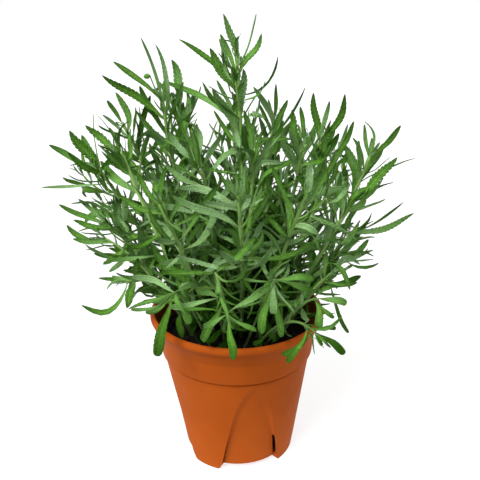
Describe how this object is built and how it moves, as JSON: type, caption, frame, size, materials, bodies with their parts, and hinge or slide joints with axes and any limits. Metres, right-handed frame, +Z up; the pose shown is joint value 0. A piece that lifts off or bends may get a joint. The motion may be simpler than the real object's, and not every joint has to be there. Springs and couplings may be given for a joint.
{
  "type": "potted lavender",
  "caption": "Young leafy lavender, a fan of upright square stems with narrow toothed leaves, in soil in a round plastic nursery pot with arch panels pressed in between its feet.",
  "frame": {"origin": "centre of the pot's underside, on the floor that the pot stands on", "axes": "+Z up along the pot's axis; the front of the plant, as pictured, faces -Y, and +X is to the right"},
  "size_m": [0.2615, 0.1952, 0.3221],
  "materials": {
    "pot": "satin, moulded, terracotta orange",
    "soil": "matte, crumbly, nearly black potting soil",
    "foliage": "matte green leaf, a little bluish, with a fine felt"
  },
  "bodies": {
    "root": {"pot": "pot", "soil": "soil", "shoot_centre_left": "foliage", "shoot_centre_right": "foliage", "shoot_far_high_1": "foliage", "shoot_far_high_2": "foliage", "shoot_far_high_3": "foliage", "shoot_far_low_1": "foliage", "shoot_far_low_2": "foliage", "shoot_far_low_3": "foliage", "shoot_far_low_4": "foliage", "shoot_far_low_5": "foliage", "shoot_far_low_6": "foliage", "shoot_far_low_7": "foliage", "shoot_front_centre": "foliage", "shoot_front_right": "foliage", "shoot_front_tall": "foliage", "shoot_left_front": "foliage", "shoot_left_low": "foliage", "shoot_left_middle": "foliage", "shoot_left_middle_low": "foliage", "shoot_left_rim": "foliage", "shoot_left_top": "foliage", "shoot_left_upper": "foliage", "shoot_left_upper_front": "foliage", "shoot_right_broad": "foliage", "shoot_right_front": "foliage", "shoot_right_front_low": "foliage", "shoot_right_low": "foliage", "shoot_right_lower": "foliage", "shoot_right_middle": "foliage", "shoot_right_rim": "foliage", "shoot_right_top": "foliage", "shoot_right_top_front": "foliage", "shoot_right_upper": "foliage", "shoot_top_centre": "foliage", "shoot_top_left": "foliage", "shoot_upper_left": "foliage", "shoot_upper_right": "foliage", "shoot_upper_right_inner": "foliage"}
  },
  "joints": []
}
